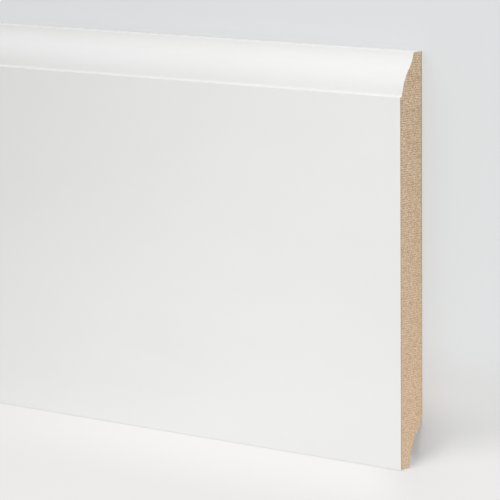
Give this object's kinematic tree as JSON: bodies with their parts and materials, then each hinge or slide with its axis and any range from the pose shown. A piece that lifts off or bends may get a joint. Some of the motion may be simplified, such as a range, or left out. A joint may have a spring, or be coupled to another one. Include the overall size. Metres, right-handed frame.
{
  "type": "skirting board",
  "caption": "Painted fibreboard skirting board, flat faced, with an ogee moulding along its top edge and a curved relief behind its foot.",
  "frame": {"origin": "on the floor under the middle of the board, in the plane of its back face", "axes": "+X along the board, +Y across it towards the moulded top edge, +Z out of the painted face"},
  "size_m": [2.4, 0.22, 0.018],
  "materials": {
    "board": "satin white paint on the face and the long edges, bare sanded fibreboard on the back and the sawn ends"
  },
  "bodies": {
    "root": {"skirting_board": "board"}
  },
  "joints": []
}
